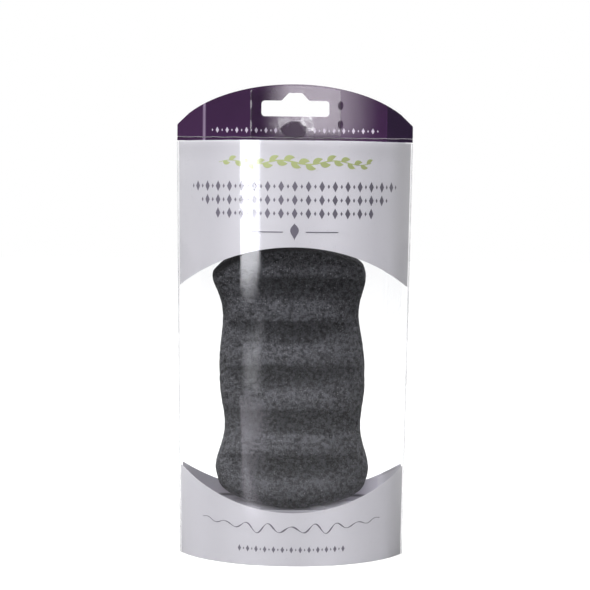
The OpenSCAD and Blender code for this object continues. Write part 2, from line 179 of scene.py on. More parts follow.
class StudioSettings(bpy.types.PropertyGroup):
    """Camera and light."""

    camera: place("Camera", "Place of the camera", (-0.0044, -0.9036, 0.1741))
    lamp: place("Key light's place", "Place of the key light", (-0.147, -0.331, 1.975))
    pitch: angle("Pitch", "Camera's turn below level", 3.074)
    yaw: angle("Yaw", "Camera's turn to the left", -0.319)
    roll: angle("Roll", "Camera's turn about its view", 0.590)
    lens: FloatProperty(name="Lens", description="Focal length", default=117.39, unit="CAMERA")
    key: FloatProperty(name="Key light", description="Its power", default=180.0, unit="POWER")
    key_size: length("Key light's size", "Side of the square key light", 600 * MM)
    fill: share("Fill", "Strength of the light from all round", 0.50, 4.0)
    strip: share("Strip", "Brightness of the strip in reflections", 10.2, 100.0)
    strip_turn: angle("Strip's turn", "The strip's turn to the left round the pack", -40)
    table: share("Table", "Brightness of the table's glow in reflections", 2.5, 100.0)
    header: share("Header", "Brightness of the header's soft light", 3.9, 100.0)


def mix(a, b, t):
    """Straight blend from a at 0 to b at 1."""
    return a + (b - a) * t


def step(low, high, value):
    """Smooth step: 0 below low, 1 above high, and 3t^2 - 2t^3 between."""
    t = np.clip((value - low) / (high - low), 0, 1)
    return t * t * (3 - 2 * t)


def sag(r, x):
    """Drop of a circle of radius r at a distance x from its top: r - sqrt(r^2 - x^2)."""
    return r - np.sqrt(np.maximum(r * r - x * x, 0))


def rounded(r, left):
    """How far an end rounded to a radius r draws in where a distance is left to it."""
    return sag(r, np.clip(r - left, 0, r))


def powered(v, p):
    """sign(v) |v|^p, which squares up a circle into a superellipse."""
    return np.sign(v) * np.abs(v) ** p


def unit(v):
    """Vectors of length one."""
    return v / np.maximum(np.linalg.norm(v, axis=-1, keepdims=True), 1e-12)


def xyz(x, y, z):
    """Points from their coordinates, spread to one shape."""
    return np.stack(np.broadcast_arrays(x, y, z), axis=-1)


def hashed(cells, seed):
    """A number from 0 to 1 for each whole-number cell: its three indices are
    multiplied by large odd numbers, xored, stirred by shifts, and scaled."""
    c = cells.astype(np.int64).astype(np.uint32)
    h = c[..., 0] * np.uint32(374761393) ^ c[..., 1] * np.uint32(668265263)
    h = h ^ c[..., 2] * np.uint32(2147483647) ^ np.uint32(seed * 97531 + 1013904223)
    h = (h ^ (h >> np.uint32(13))) * np.uint32(1274126177)
    h = (h ^ (h >> np.uint32(16))) * np.uint32(2246822519)
    return (h ^ (h >> np.uint32(15))).astype(np.float64) / 4294967295.0


def rough(points, size, seed):
    """Smooth noise from 0 to 1: hashed corners of cells of a size, blended with
    3t^2 - 2t^3 along each axis."""
    p = points / size
    base = np.floor(p)
    t = p - base
    t = t * t * (3 - 2 * t)
    total = 0.0
    for corner in np.ndindex(2, 2, 2):
        c = np.array(corner)
        weight = np.prod(np.where(c == 1, t, 1 - t), axis=-1)
        total = total + weight * hashed(base + c, seed)
    return total


def pits(points, size, seed, kept):
    """Depth from 0 to 1 of round pits: one pit of a random radius sits at a random
    place in a kept share of the cells, and each is a bowl 1 - (d / r)^2."""
    p = points / size
    base = np.floor(p)
    depth = np.zeros(p.shape[:-1])
    for offset in np.ndindex(3, 3, 3):
        cell = base + np.array(offset) - 1
        place = cell + np.stack([hashed(cell, seed + k) for k in (1, 2, 3)], axis=-1)
        radius = mix(0.26, 0.62, hashed(cell, seed + 4)) * (hashed(cell, seed + 5) < kept)
        d = np.linalg.norm(p - place, axis=-1)
        depth = np.maximum(depth, 1 - (d / np.maximum(radius, 1e-6)) ** 2)
    return depth


def sponge_half(z, s):
    """Half width of the sponge's outline: a cosine of the bulge pitch, whose waists
    are pushed outwards by a half sine, runs between the waist's width and that of a
    bulge that widens from the middle one to the end ones."""
    off = z - FOAM_MIDDLE
    far = np.abs(off) / (s.bulge_pitch + s.bulge_shift * np.sign(off))
    bulge = mix(s.width_mid, s.width_end, np.minimum(1, far))
    push = np.where(off > 0, s.waist_high, s.waist_low) / s.bulge_pitch
    turn = far - push * np.sin(np.pi * np.minimum(1, far))
    return mix(s.width_waist, bulge, (1 + np.cos(2 * np.pi * turn)) / 2) / 2


def groove_depth(z, s):
    """Depth of the grooves at a height. Down each pitch runs a nearly flat valley, a
    quarter sine outwards to the crest, and a smooth step in under it, as soft wet
    ridges sag; towards both ends the grooves fade."""
    valley, climb, under = 0.38, 0.44, 0.85
    u = (FOAM_MIDDLE + s.ridge_lead - z) / s.ridge_pitch % 1
    crest = np.sin(np.pi / 2 * np.clip((u - valley) / climb, 0, 1))
    crest = (0.1 * np.minimum(u / valley, 1) + 0.9 * crest) * (1 - step(under, 1.0, u))
    edge = np.minimum(z - FOAM_LOW.z, FOAM_HIGH.z - z)
    return s.groove_depth * (1 - crest) * step(3 * MM, 9 * MM, edge)


def crown_shift(x, z, s):
    """How far a point near the ends moves towards the middle: the crown, times the
    sixth power of its share of the half length and a hyperbola of its share of the
    half width, and more at the left corners, above all the top one."""
    off, side = (FOAM_MIDDLE - z) / FOAM_HALF, 2 * x / s.width_end
    more = 1 + s.lopsided * np.where(off < 0, 1, 0.3) * np.clip(-side, 0, 1) ** 4
    bend = np.hypot(side, 0.2) - 0.2
    return s.end_crown * more * np.sign(off) * np.abs(off) ** 6 * bend


def slump_shift(z, s):
    """How far the soft foam leans to the left at a height: a parabola, most at the top."""
    t = (z - FOAM_MIDDLE) / FOAM_HALF
    return -s.slump * (0.09 + 0.44 * t + 0.47 * t * t)


def foam_point(turn, z, s):
    """The foam's surface at a turn and a height: a superellipse, squarer at the back
    than at the front, whose front is let in by the grooves and whose ends draw in
    along a quarter circle and are crowned."""
    gap = PAD_HIGH.y - FOAM_HIGH.y
    draw = rounded(s.end_round, FOAM_HALF - np.abs(z - FOAM_MIDDLE))
    groove = groove_depth(z, s)
    power = np.where(np.sin(turn) > 0, 2.6, 2.5)
    out = np.abs(np.sin(turn)) ** (2 / power)
    x = (sponge_half(z, s) - draw) * powered(np.cos(turn), 2 / power)
    reach = PAD_HIGH.y - FOAM_LOW.y - s.widest_at - 0.8 * draw
    front = s.widest_at + (reach - groove * np.abs(np.sin(turn))) * out
    back = np.maximum(gap + 0.35 * draw, s.widest_at * (1 - out))
    y = PAD_HIGH.y - np.where(np.sin(turn) > 0, back, front)
    return xyz(x + slump_shift(z, s), y, z + crown_shift(x, z, s))


def arc_radius(chord, rise):
    """Radius of an arc over a chord with a rise: (chord^2 / 4 + rise^2) / (2 rise)."""
    return (chord**2 / 4 + rise**2) / (2 * rise)


def bow_circle(t, p):
    """Chord, rise and radius of the bow at a share t of the box's height."""
    chord, rise = mix(p.width_foot, p.width_top, t), mix(p.bow_foot, p.bow_top, t)
    return chord, rise, arc_radius(chord, rise)


def pressed_in(points, s, p):
    """Depth of the foam's points, pressed in by the bow where the lifted sponge would
    touch it: a smooth maximum, k ln(1 + exp(d / k)), of the distance d to the bow."""
    _, rise, r = bow_circle((points[..., 2] + s.lift) / p.height, p)
    limit = BACK_LOW.y - rise + sag(r, points[..., 0]) + 1.35 * MM
    k = 0.4 * MM
    return limit + k * np.logaddexp(0, (points[..., 1] - limit) / k)


def foam_grid(s, p):
    """Points of the closed foam body, and how much painted shade darkens each of them, for the
    print's shade on the foam's top:
    rings up its height, closer at the ends, then rings that shrink to the middle of
    each end over a slightly crowned cap."""
    v = np.linspace(-1, 1, s.rings)
    z = FOAM_MIDDLE + FOAM_HALF * mix(v, np.sin(np.pi / 2 * v), 0.45)
    turn = np.linspace(0, 2 * np.pi, s.points, endpoint=False)
    body = foam_point(turn[None, :], z[:, None], s)
    body[..., 1] = pressed_in(body, s, p)
    caps = []
    for ring, level, rise in ((body[0], z[0], -0.02 * MM), (body[-1], z[-1], 0.5 * MM)):
        heart = ring.mean(axis=0)
        t = np.linspace(1, 0, CAP_RINGS + 2)[1:-1, None, None]
        cap = heart + (ring - heart) * t
        x = cap[..., 0] - slump_shift(level, s)
        cap[..., 2] = level + crown_shift(x, level, s) + rise * (1 - t[..., 0] ** 2)
        caps.append(cap)
    # Painted shade: a dark band under the top edge, reaching lower at the corners, and lighter
    # painted shade over the top cap.
    corner = np.minimum(1, 2 * np.abs(body[..., 0]) / s.width_end) ** 4
    darkened = z[:, None] + 9 * MM * corner
    darkened = step(FOAM_HIGH.z - 5.2 * MM, FOAM_HIGH.z - 1.5 * MM, darkened)
    flat = np.ones((CAP_RINGS, s.points))
    damp = np.concatenate([0 * flat, darkened, np.linspace(0.9, 0.3, CAP_RINGS)[:, None] * flat])
    return np.concatenate([caps[0][::-1], body, caps[1]]), damp


def strip_faces(rows, cols, closed=False):
    """Quads of a grid of rows and columns, whose columns may run round in a ring."""
    r = np.arange(rows - 1)[:, None]
    c = np.arange(cols if closed else cols - 1)[None, :]
    n = (c + 1) % cols
    quads = np.stack([r * cols + c, r * cols + n, (r + 1) * cols + n, (r + 1) * cols + c], -1)
    return quads.reshape(-1, 4)


def closed_sheet(outer, inner):
    """Points and quads of a thin sheet: an outer grid, an inner grid the other way
    round, and a band of quads round the rim."""
    rows, cols = outer.shape[:2]
    index = np.arange(rows * cols).reshape(rows, cols)
    rim = np.concatenate([index[0], index[1:, -1], index[-1, -2::-1], index[-2:0:-1, 0]])
    after = np.roll(rim, -1)
    n = rows * cols
    front = strip_faces(rows, cols)
    edge = np.stack([rim, rim + n, after + n, after], axis=-1)
    return (
        np.concatenate([outer.reshape(-1, 3), inner.reshape(-1, 3)]),
        np.concatenate([front, front[:, ::-1] + n, edge]),
    )


def tubes(paths, radii, sides):
    """Points and faces of many tubes at once: at each point of a path a ring of a
    radius stands square to it, across the Y axis, and flat faces close the ends."""
    amount, n = paths.shape[:2]
    along = unit(np.gradient(paths, axis=1))
    side = unit(np.cross(along, np.array([0.0, 1.0, 0.0])))
    up = np.cross(side, along)
    turn = np.linspace(0, 2 * np.pi, sides, endpoint=False)
    ring = np.cos(turn)[:, None] * side[:, :, None] + np.sin(turn)[:, None] * up[:, :, None]
    points = paths[:, :, None] + radii[:, :, None, None] * ring
    base = (np.arange(amount) * n * sides)[:, None, None]
    quads = (strip_faces(n, sides, True)[None] + base).reshape(-1, 4)[:, ::-1]
    first = np.arange(sides)[None, :] + base[:, 0]
    last = first[:, ::-1] + (n - 1) * sides
    return points.reshape(-1, 3), quads.tolist() + first.tolist() + last.tolist()


def tube_along_x(path, radius, sides):
    """Points and faces of one round tube that runs along X: upright rings of a
    radius round a path, with flat ends."""
    turn = np.linspace(0, 2 * np.pi, sides, endpoint=False)
    ring = radius * np.stack([0 * turn, np.cos(turn), np.sin(turn)], axis=-1)
    points = (path[:, None] + ring[None]).reshape(-1, 3)
    quads = strip_faces(len(path), sides, True)
    last = np.arange(sides) + (len(path) - 1) * sides
    return points, quads.tolist() + [list(range(sides))[::-1], last.tolist()]


def bow_arc(turn, chord, rise, inset):
    """Arc over a chord with a rise, set in by an inset: turn -1 to 1 runs from its
    left end to its right one. Gives x, and the depth as a negative number."""
    r = arc_radius(chord, rise)
    half = np.arccos((r - rise) / (r - inset))
    return (r - inset) * np.sin(turn * half), r - rise - (r - inset) * np.cos(turn * half)


def bow_point(turn, z, inset, p):
    """The bowed front: a ruled surface that blends the foot's arc into the fold's."""
    foot_x, foot_y = bow_arc(turn, p.width_foot, p.bow_foot, inset)
    top_x, top_y = bow_arc(turn, p.width_top, p.bow_top, inset)
    t = z / p.height
    return xyz(mix(foot_x, top_x, t), BACK_LOW.y + mix(foot_y, top_y, t), z)


def bow_sheet(turns, low, high, outer, inner, rows, p):
    """A thin sheet on the bow between two heights, each one number or one per turn."""
    z = mix(low, high, np.linspace(0, 1, rows)[:, None]) + 0 * turns
    return closed_sheet(*(bow_point(turns, z, inset, p) for inset in (outer, inner)))


def bow_turn(s, z, p):
    """Turn at a distance s along the bow from its middle: s over half its arc."""
    chord, _, r = bow_circle(z / p.height, p)
    return s / (r * np.arcsin(chord / (2 * r)))


def make_mesh(name, points, faces, finish, body, slot, replaced=(), sharp=50):
    """A smooth-shaded piece from points and faces, riding on a body."""
    mesh = bpy.data.meshes.new(name)
    faces = faces if isinstance(faces, list) else faces.tolist()
    mesh.from_pydata(points.tolist(), [], faces)
    mesh.polygons.foreach_set("use_smooth", np.ones(len(mesh.polygons), bool))
    mesh.set_sharp_from_angle(angle=math.radians(sharp))
    mesh.materials.append(finish)
    mesh.validate()
    mesh.update()
    piece = bpy.data.objects.new(name, mesh)
    bpy.context.scene.collection.objects.link(piece)
    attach(piece, body)
    if replaced:
        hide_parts(*replaced)
    return piece


def keep_values(piece, name, values):
    """Stores a number from 0 to 1 at each point of a piece, for its shader to read."""
    held = piece.data.attributes.new(name, "FLOAT", "POINT")
    held.data.foreach_set("value", np.clip(values, 0, 1).astype(np.float32))


class Wire:
    """A shader socket. Python's operators on it add the Math nodes of that sum."""

    def __init__(self, finish, socket):
        self.finish, self.socket = finish, socket

    def math(self, operation, *values):
        """A Math node of some values."""
        numbered = dict(enumerate(values))
        return self.finish.node("ShaderNodeMath", {"operation": operation}, numbered)

    def output(self, name):
        """Another output of this socket's node."""
        return Wire(self.finish, self.socket.node.outputs[name])

    def __add__(self, other):
        return self.math("ADD", self, other)

    def __sub__(self, other):
        return self.math("SUBTRACT", self, other)

    def __rsub__(self, other):
        return self.math("SUBTRACT", other, self)

    def __mul__(self, other):
        return self.math("MULTIPLY", self, other)

    def __truediv__(self, other):
        return self.math("DIVIDE", self, other)

    def __pow__(self, other):
        return self.math("POWER", self, other)

    def __neg__(self):
        return self.math("MULTIPLY", self, -1.0)

    def __abs__(self):
        return self.math("ABSOLUTE", self)

    def clamp(self):
        """This value, kept from 0 to 1."""
        return self.finish.node("ShaderNodeClamp", {}, {"Value": self})

    def between(self, low, high):
        """Smooth step of this value from low to high."""
        return self.finish.node(
            "ShaderNodeMapRange",
            {"interpolation_type": "SMOOTHSTEP"},
            {"Value": self, "From Min": low, "From Max": high},
        )


class Finish:
    """The nodes of one material, or of the world."""

    def __init__(self, name, world=False):
        self.holder = (bpy.data.worlds if world else bpy.data.materials).new(name)
        self.holder.use_nodes = True
        self.tree = self.holder.node_tree
        self.tree.nodes.clear()
        self.place = None

    def node(self, kind, settings=None, sockets=None, output=0):
        """A node with its settings set first, then its sockets' values or links."""
        made = self.tree.nodes.new(kind)
        for key, value in (settings or {}).items():
            setattr(made, key, value)
        for key, value in (sockets or {}).items():
            socket = made.inputs[key]
            if isinstance(value, Wire):
                self.tree.links.new(value.socket, socket)
            elif hasattr(value, "__len__"):
                socket.default_value = (*value, 1.0)[: len(socket.default_value)]
            else:
                socket.default_value = value
        return Wire(self, made.outputs[output]) if len(made.outputs) else made

    def coords(self):
        """Object coordinates."""
        if self.place is None:
            self.place = self.node("ShaderNodeTexCoord", output="Object")
        return self.place

    def axis(self, name, source=None):
        """One axis of the object coordinates, or of another vector."""
        split = self.node("ShaderNodeSeparateXYZ", {}, {0: source or self.coords()})
        return split.output(name)

    def normal(self, name):
        """One axis of the object's normal."""
        return self.axis(name, self.node("ShaderNodeTexCoord", output="Normal"))

    def cut_edge(self, flat):
        """1 on the cut edges of a sheet that lies square to an axis, and 0 on its faces."""
        return (1 - abs(self.normal(flat))).between(0.3, 0.7)

    def attribute(self, name):
        """A number kept at the mesh's points."""
        return self.node("ShaderNodeAttribute", {"attribute_name": name}, output="Fac")

    def noise(self, scale, detail, roughness, stretch=None, distortion=0.0):
        """Noise of a scale per metre, which may be stretched along the axes."""
        place = self.coords()
        if stretch:
            place = self.node("ShaderNodeMapping", {}, {"Vector": place, "Scale": stretch})
        sockets = {"Vector": place, "Scale": scale, "Detail": detail, "Roughness": roughness}
        sockets["Distortion"] = distortion
        return self.node("ShaderNodeTexNoise", {}, sockets)

    def cells(self, scale):
        """Voronoi distance, with its other outputs at hand."""
        sockets = {"Vector": self.coords(), "Scale": scale}
        return self.node("ShaderNodeTexVoronoi", {"feature": "F1"}, sockets)

    def blend(self, factor, a, b, how="MIX"):
        """Colour a at 0 and b, or a worked on by b, at 1."""
        settings = {"data_type": "RGBA", "blend_type": how}
        return self.node("ShaderNodeMix", settings, {0: factor, 6: a, 7: b}, 2)

    def layers(self, tone, *layers):
        """A colour under layers, each of them a factor and the layer's own colour."""
        for factor, layer in layers:
            tone = self.blend(factor, tone, layer)
        return tone

    def gain(self, factor, a, times):
        """Colour a at 0 and so many times colour a at 1."""
        return self.blend(factor, a, (times, times, times), "MULTIPLY")

    def bump(self, height, distance, strength):
        """A bumped normal from a height."""
        values = {"Height": height, "Distance": distance, "Strength": strength}
        return self.node("ShaderNodeBump", {}, values)

    def surface(self, **sockets):
        """A Principled shader; names take an underscore for a space."""
        named = {key.replace("_", " "): value for key, value in sockets.items()}
        return self.node("ShaderNodeBsdfPrincipled", {}, named)

    def see_through(self, tone):
        """A shader that lets light of a tone through."""
        return self.node("ShaderNodeBsdfTransparent", {}, {"Color": tone})

    def shine(self, roughness, **sockets):
        """A white reflection."""
        sockets.update(Color=WHITE, Roughness=roughness)
        return self.node("ShaderNodeBsdfAnisotropic", {}, sockets)

    def mirrored(self, least):
        """Share of the light that a film mirrors: the least one where it is seen
        straight on, and all at a slant, by the fifth power of the slant."""
        facing = self.node("ShaderNodeLayerWeight", {}, {"Blend": 0.5}, "Facing")
        return facing**5 * (1 - least) + least

    def cover(self, factor, below, above):
        """The shader below at 0 and the one above at 1."""
        return self.node("ShaderNodeMixShader", {}, {0: factor, 1: below, 2: above})

    def end(self, shader):
        """The material, with this shader on its output."""
        self.node("ShaderNodeOutputMaterial", {}, {"Surface": shader})
        return self.holder

    def solid(self, **sockets):
        """The material, all of one Principled shader."""
        return self.end(self.surface(**sockets))


def scaled(tone, times):
    """A colour with each part multiplied by a number."""
    return tuple(times * part for part in tone)


def foam_finish(c):
    """Charcoal foam: mottled grain, black pits, pale specks and a grainy bump, with
    painted shade: darker above 108 mm and towards its foot, and darkest round its top edge."""
    f = Finish("charcoal_foam")
    pit, damp = f.attribute("pit"), f.attribute("damp")
    mottle = f.noise(560, 4, 0.65)
    grain = f.noise(1700, 3, 0.6)
    patch = f.noise(60, 2, 0.5)
    crumbs = f.cells(1000)
    chosen = f.axis("X", crumbs.output("Color")).between(0.72, 0.90)
    speck = (0.36 - crumbs).between(0, 0.16) * chosen
    # Painted shade: darker above 108 mm, where the print's shade falls, and towards the foot.
    upper = f.axis("Z").between(0.108, 0.128)
    foot = (0.052 - f.axis("Z")).between(0, 0.02)
    paler, top_shade_tone = (0.104, 0.104, 0.118), (0.005, 0.005, 0.006)
    tone = f.layers(
        c.foam_dark,
        ((mottle * 0.6 + grain * 0.4).between(0.415, 0.585), c.foam),
        (patch.between(0.35, 0.7) * 0.25, paler),
        (upper * 0.3, c.foam_dark),
        (foot * 0.16, c.foam_dark),
        ((pit * 0.75).clamp(), c.foam_dark),
        (speck * 0.32, c.foam_light),
        # Painted shade round the top edge and over the top cap.
        (damp * 0.94, top_shade_tone),
    )
    return f.solid(
        Base_Color=tone,
        Roughness=0.93,
        Specular_IOR_Level=0.22,
        Sheen_Weight=0.05,
        Normal=f.bump(mottle * 0.5 + grain * 0.35 - pit * 0.2, 0.0011, 0.8),
    )


def fibre_finish(c):
    """Dry plant fibre: a straw colour that varies from strand to strand, with
    darker knots and fine lengthwise grain."""
    f = Finish("plant_fibre")
    blotch = f.noise(260, 3, 0.6)
    grain = f.noise(2600, 2, 0.6)
    straw, knot, streak = (0.72, 0.63, 0.43), (0.27, 0.19, 0.09), (0.80, 0.74, 0.58)
    tone = f.layers(
        c.fibre,
        (f.attribute("strand"), straw),
        (blotch.between(0.42, 0.72) * 0.55, knot),
        (grain.between(0.5, 0.8) * 0.3, streak),
    )
    return f.solid(
        Base_Color=tone,
        Roughness=blotch * 0.3 + 0.58,
        Specular_IOR_Level=0.3,
        Normal=f.bump(grain, 0.0003, 0.6),
    )


def film_finish(c, name, gloss, haze=0.012, flat=None, rim=0.0):
    """Clear film: see-through, with a mirror-like reflection that grows at a slant,
    faint scuffs and dust, wide soft waves, and greyer cut edges on a flat sheet."""
    f = Finish(name)
    ripple = f.noise(34, 1.5, 0.4)
    scuff = f.noise(240, 3, 0.7, stretch=(1.0, 1.0, 5.0), distortion=0.6)
    dust = (0.16 - f.cells(330)).between(0, 0.1)
    veil = scuff.between(0.55, 0.8) * haze + dust * (haze * 3.0)
    dull = f.surface(Base_Color=(0.88, 0.89, 0.92), Roughness=0.5)
    shine = f.shine(0.05, Normal=f.bump(ripple, 0.00016, 1.0))
    film = f.cover(veil.clamp(), f.see_through(c.film), dull)
    film = f.cover(f.mirrored(gloss).clamp(), film, shine)
    if flat:
        side = f.surface(Base_Color=c.rim, Roughness=0.25)
        film = f.cover(f.cut_edge(flat) * rim, film, side)
    return f.end(film)


def tab_finish(c):
    """The header's second film layer: glossy, wetted dark where the glue holds it,
    torn light beside the glue, with pressed edge lines, weld spots at the right and
    painted glints at the left: pale spots that stand in for highlights."""
    f = Finish("hang_tab_film")
    across, up = f.axis("X"), f.axis("Z")
    shake = f.noise(420, 2, 0.5) - 0.5
    torn = f.noise(360, 3, 0.65, distortion=0.9)
    edge, glint = 0.0212, -0.0213

    def spot(x, z, wide, high, rough_edge=0.0):
        far = (((across - x) / wide) ** 2 + ((up - z) / high) ** 2) ** 0.5
        return 1 - (far + shake * rough_edge).between(0.88, 1.08)

    darkened = spot(-0.0006, 0.2037, 0.0061, 0.0037, 0.5)
    upper, lower = WELD_HEIGHTS
    welds = spot(edge, upper, 0.0009, 0.0019) + spot(edge, lower, 0.0009, 0.0018)
    # Painted highlights: pale spots at the tab's left edge stand in for glints.
    painted_glints = spot(glint, 0.2154, 0.0006, 0.0021) + spot(glint, 0.2057, 0.0006, 0.0021)
    line = (0.0003 - abs(abs(across) - edge)).between(0, 0.00016)
    veil = spot(-0.0066, 0.2070, 0.0050, 0.0026, 1.3) * torn.between(0.42, 0.62) * 0.13
    veil = veil + spot(0.0058, 0.2066, 0.0034, 0.0040, 1.5) * torn.between(0.34, 0.62) * 0.47
    # The painted glints, and one more painted glint higher up, whiten the veil.
    veil = veil + painted_glints * 0.14 + line * 0.03 + spot(glint, 0.2226, 0.0006, 0.0014) * 0.1
    dark = (darkened + welds).clamp()
    mirror = f.mirrored(0.02) * (1 - dark)
    dull = f.surface(Base_Color=(0.80, 0.78, 0.82), Roughness=0.5)
    wetted = f.surface(Base_Color=scaled(c.purple, 0.6), Roughness=0.3)
    film = f.cover(veil.clamp(), f.see_through(c.film), dull)
    film = f.cover(dark * 0.85, film, wetted)
    return f.end(f.cover(mirror.clamp(), film, f.shine(0.06)))


def seam_finish(c, p):
    """The seam's flap: nearly invisible film in the window, and pale ink below and
    above it, up to arcs that keep just inside those of the back's window. Its ink has
    a painted glow, an emission for the light that the pack's pale front lets through."""
    f = Finish("seam_film")
    across, up = f.axis("X"), f.axis("Z")
    cloud = f.noise(60, 2, 0.5)

    def arc(radius):
        return radius - (radius * radius - across**2) ** 0.5

    low = arc(p.back_round) + (p.back_foot - 0.7 * MM)
    high = p.window_top - 0.4 * MM - arc(p.window_round)
    inked = (((low - up) / 0.0002).clamp() + ((up - high) / 0.0002).clamp()).clamp()
    # Painted light: an emission in the flap's lower part stands in for light through the pale
    # front.
    leak = (0.047 - across).between(0, 0.004) * (0.08 - up).between(0, 0.01)
    print_ = f.surface(
        Base_Color=f.blend(cloud, c.pale, scaled(c.pale, 0.85)),
        Roughness=0.3,
        Emission_Color=f.blend(leak, BLACK, (0.13, 0.127, 0.14)),
        Emission_Strength=1.0,
    )
    return f.end(f.cover(inked * 0.94 + 0.005, f.see_through(c.film), print_))


def milky_finish(c, name, flat):
    """Film with a thin pale print: half see-through, a little cloudy, glossy, with
    lighter cut edges, painted shade that darkens it towards the left, and a painted
    glow in front, an emission for the light that the pack's pale print lets through."""
    f = Finish(name)
    across = f.axis("X")
    cloud = f.noise(45, 3, 0.55)
    screen = f.noise(3800, 2, 0.5)
    tone = f.layers(
        c.milk,
        (cloud.between(0.3, 0.7) * 0.5, scaled(c.milk, 0.86)),
        # Painted shade: the print darkens towards the left.
        ((0.045 - across).between(0, 0.08) * 0.45, scaled(c.milk, 0.4)),
    )
    # Painted light: the glow grows away from the sponge's foot, weaker at the left and on the cut
    # edges.
    out = ((across * 1.35) ** 2 + (f.axis("Y") - 0.041) ** 2) ** 0.5
    aside = abs(across).between(0.004, 0.018) * 0.8 + 0.2
    aside = aside * across.between(-0.033, -0.022) * (across.between(0.02, 0.036) * 0.8 + 0.8)
    edge = f.cut_edge(flat) * 0.25
    leak = out.between(0.039, 0.0495) * aside * (1 - edge * 2.0)
    print_ = f.surface(
        Base_Color=tone,
        Roughness=cloud * 0.1 + 0.22,
        Normal=f.bump(screen, 0.00002, 0.4),
        Emission_Color=f.blend(leak, BLACK, (0.27, 0.265, 0.295)),
        Emission_Strength=1.0,
    )
    cover = (screen.between(0.3, 0.8) * 0.08 + cloud * 0.1 + 0.62 + edge).clamp()
    return f.end(f.cover(cover, f.see_through(c.film), print_))


def fold_finish(c):
    """Pressed fold of the film: half clear, half greyish white, uneven along its
    length, where the film has stretched."""
    f = Finish("film_fold")
    stress = f.noise(420, 3, 0.6, stretch=(1.0, 1.0, 0.2)).between(0.3, 0.8)
    white = f.surface(Base_Color=c.rim, Roughness=0.2)
    return f.end(f.cover(stress * 0.3 + 0.14, f.see_through(c.film), white))


def ink_finish(name, tone, deep, roughness, glow=None, even=False):
    """Gravure ink on film: an even colour with a fine screen grain, faint cloudy
    variation and a little orange peel. Without a glow it has painted shade towards
    its right end. With a glow, it has painted shade at the left and a painted shadow
    line along the platform's rear fold, and at the right its inner side has that glow,
    a painted emission for the light through the pale front. An even ink has painted
    light where the bow turns from the light, and painted shade below the top fold."""
    f = Finish(name)
    across = f.axis("X")
    cloud = f.noise(26, 3, 0.5)
    screen = f.noise(4200, 2, 0.5).between(0.45, 0.75)
    shade = f.layers(tone, (cloud.between(0.3, 0.75) * 0.5, deep), (screen * 0.10, deep))
    dusk = scaled(deep, 0.4)
    sockets = {}
    if glow:
        # Painted shade at the left, a painted shadow line along the rear fold, and a painted glow
        # at the right.
        rear_fold = 0.0282
        inner = (-f.normal("Y")).between(0.3, 0.7)
        line = (0.0010 - abs(f.axis("Z") - rear_fold)).between(0, 0.0008) * inner
        line = line * (0.038 - abs(across)).between(0, 0.006)
        leak = inner * across.between(0.030, 0.044) * (1 - line)
        left = (-across).between(0, 0.035)
        shade = f.layers(shade, (left * 0.4, dusk), (line * 0.85, scaled(dusk, 0.3)))
        sockets = {"Emission_Color": f.blend(leak, BLACK, glow), "Emission_Strength": 1.0}
    else:
        # Painted shade towards the right end.
        shade = f.blend(across.between(0.044, 0.053) * 0.3, shade, dusk)
    if even:
        # Painted light where the bow turns from the light, and painted shade just below the top
        # fold.
        up = f.axis("Z")
        low = (0.060 - up).between(0, 0.010)
        pale = across.between(0, 0.021) * (1 - across.between(0.041, 0.052) * 0.8)
        pale = (pale + (-across).between(0.033, 0.051) * (low * 0.75 + 0.2)).clamp()
        shade = f.gain(up.between(0.186, 0.197), f.gain(pale, shade, 1.21), 0.88)
    return f.solid(
        Base_Color=shade,
        Roughness=cloud * 0.06 + roughness,
        Normal=f.bump(f.noise(700, 2, 0.5), 0.00002, 0.5),
        **sockets,
    )


def header_finish(c):
    """Header ink: deep purple gloss. At the left an upright press line is worn where
    the sheets lie over each other, with a warmer tone outside it; outside the right
    one is a cooler tone; and here are the outer halves of the two weld spots."""
    f = Finish("header_ink")
    across, up = f.axis("X"), f.axis("Z")
    press = 0.0434  # distance of the left press line from the middle
    cooler, warmer, worn = (0.010, 0.005, 0.017), (0.055, 0.022, 0.066), (0.36, 0.28, 0.40)
    cloud = f.noise(30, 3, 0.5)
    ripple = f.noise(55, 2, 0.5, stretch=(1.0, 1.0, 0.35))
    line = (0.0010 - abs(across + press)).between(0, 0.0009)
    right = (across - 0.0437).between(0, 0.0006)
    left = (-across - press).between(0, 0.0006)
    deep = scaled(c.purple, 0.72)
    gloss = f.surface(
        Base_Color=f.layers(
            c.purple,
            (cloud.between(0.3, 0.7) * 0.5, deep),
            (right * 0.85, cooler),
            (left * 0.3, warmer),
            (line * 0.5, worn),
        ),
        Roughness=cloud * 0.05 + 0.1,
        Specular_IOR_Level=0.9,
        Normal=f.bump(ripple, 0.00012, 0.7),
    )
    far = [((across - 0.0218) / 0.0011) ** 2 + ((up - z) / 0.0021) ** 2 for z in WELD_HEIGHTS]
    welds = (1 - far[0].between(0.7, 1.2)) + (1 - far[1].between(0.7, 1.2))
    dull = f.surface(Base_Color=deep, Roughness=0.6, Specular_IOR_Level=0.1)
    return f.end(f.cover(welds * 0.9, gloss, dull))


def crease_finish():
    """Pressed crease in the header, where the ink has whitened unevenly."""
    f = Finish("header_crease")
    worn = f.noise(300, 4, 0.65).between(0.35, 0.7)
    tone = f.blend(worn, (0.02, 0.01, 0.024), (0.05, 0.036, 0.058))
    return f.solid(Base_Color=tone, Roughness=0.55, Specular_IOR_Level=0.25)


